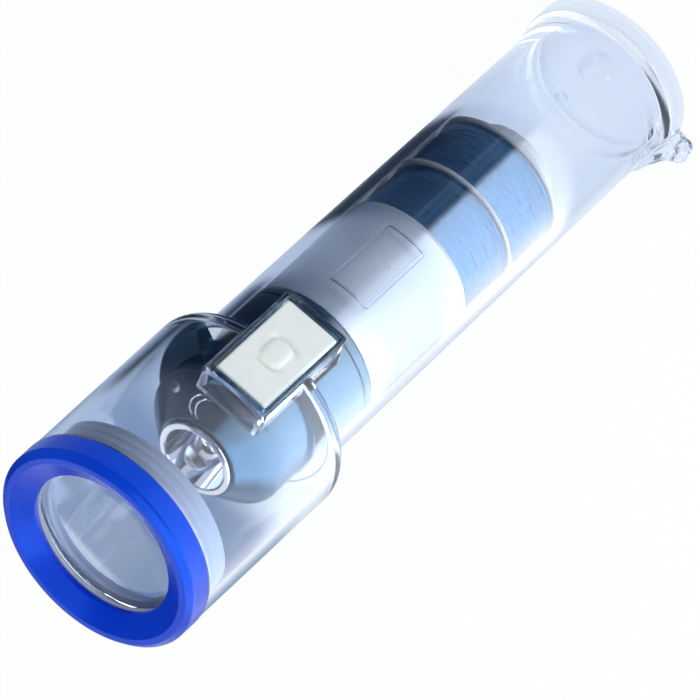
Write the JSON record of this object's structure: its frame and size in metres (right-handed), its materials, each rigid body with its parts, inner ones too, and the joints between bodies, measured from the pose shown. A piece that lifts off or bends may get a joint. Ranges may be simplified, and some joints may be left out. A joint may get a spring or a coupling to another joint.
{
  "type": "shake flashlight",
  "caption": "Clear shake flashlight: a magnet slides through a coil in the barrel, a push switch sits on the head, and a blue ring screws on over the lens",
  "frame": {"origin": "centre of the tail face, on the torch's axis, at the surface that it stands on", "axes": "+Z runs along the torch from the tail to the lens, the push switch faces -Y and the lanyard lug points to -X"},
  "size_m": [0.0468, 0.0468, 0.172],
  "materials": {
    "clear_case": "clear moulded plastic, glossy",
    "blue_bezel": "translucent blue moulded plastic, glossy",
    "lens": "polished clear plastic",
    "gasket": "matt silicone",
    "milky_plastic": "milky translucent plastic",
    "chrome": "mirror",
    "lamp_epoxy": "water clear epoxy",
    "circuit_board": "green solder mask",
    "navy_plastic": "dark navy moulded plastic",
    "screw_steel": "zinc plated",
    "capacitor_sleeve": "shrink sleeve",
    "component_black": "moulded epoxy",
    "resistor_tan": "lacquer",
    "lead_wire": "insulated wire",
    "cream_button": "satin moulded plastic",
    "coil_core": "varnished inner layers",
    "coil_enamel": "dark blue enamelled copper wire",
    "grey_sleeve": "smoky translucent plastic",
    "bumper_rubber": "matt rubber",
    "magnet_nickel": "nickel plated"
  },
  "bodies": {
    "root": {"body_shell": "clear_case", "lanyard_lug": "clear_case", "switch_frame": "clear_case", "reflector_cup": "chrome", "led_lamp": "lamp_epoxy", "led_board": "circuit_board", "module_housing": "navy_plastic", "module_cover": "navy_plastic", "module_screw_1": "screw_steel", "module_screw_2": "screw_steel", "circuit_board": "circuit_board", "storage_capacitor": "capacitor_sleeve", "rectifier_diode_1": "component_black", "rectifier_diode_2": "component_black", "rectifier_diode_3": "component_black", "rectifier_diode_4": "component_black", "lamp_resistor": "resistor_tan", "lamp_wire_1": "lead_wire", "lamp_wire_2": "lead_wire", "switch_board": "circuit_board", "switch_body": "component_black", "coil_bobbin": "milky_plastic", "coil_core_front": "coil_core", "coil_core_rear": "coil_core", "coil_winding_front": "coil_enamel", "coil_winding_rear": "coil_enamel", "coil_lead_1": "lead_wire", "coil_lead_2": "lead_wire", "spacer_sleeve": "grey_sleeve", "guide_end_cap": "milky_plastic", "rear_bumper": "bumper_rubber", "front_bumper": "bumper_rubber"},
    "magnet": {"shake_magnet": "magnet_nickel"},
    "button": {"switch_button": "cream_button", "switch_plunger": "component_black"},
    "lens": {"front_lens": "lens", "lens_gasket": "gasket", "lens_retainer": "milky_plastic"},
    "bezel": {"bezel_ring": "blue_bezel"}
  },
  "joints": [
    {"name": "magnet_slide", "type": "slide", "parent": "root", "child": "magnet", "axis": [0, 0, 1], "range_m": [0, 0.0352]},
    {"name": "button_press", "type": "slide", "parent": "root", "child": "button", "axis": [0, 1, 0], "range_m": [0, 0.001], "stiffness_N_per_m": 1200},
    {"name": "lens_lift", "type": "slide", "parent": "root", "child": "lens", "axis": [0, 0, 1], "range_m": [0, 0.008]},
    {"name": "bezel_turn", "type": "hinge", "parent": "lens", "child": "bezel", "pos_m": [0, 0, 0.1659], "axis": [0, 0, 1], "range_deg": [0, 1440]}
  ],
  "couplings": [
    {"joint": "bezel_turn", "follows": "lens_lift", "rad_per_m": 3141.6}
  ]
}
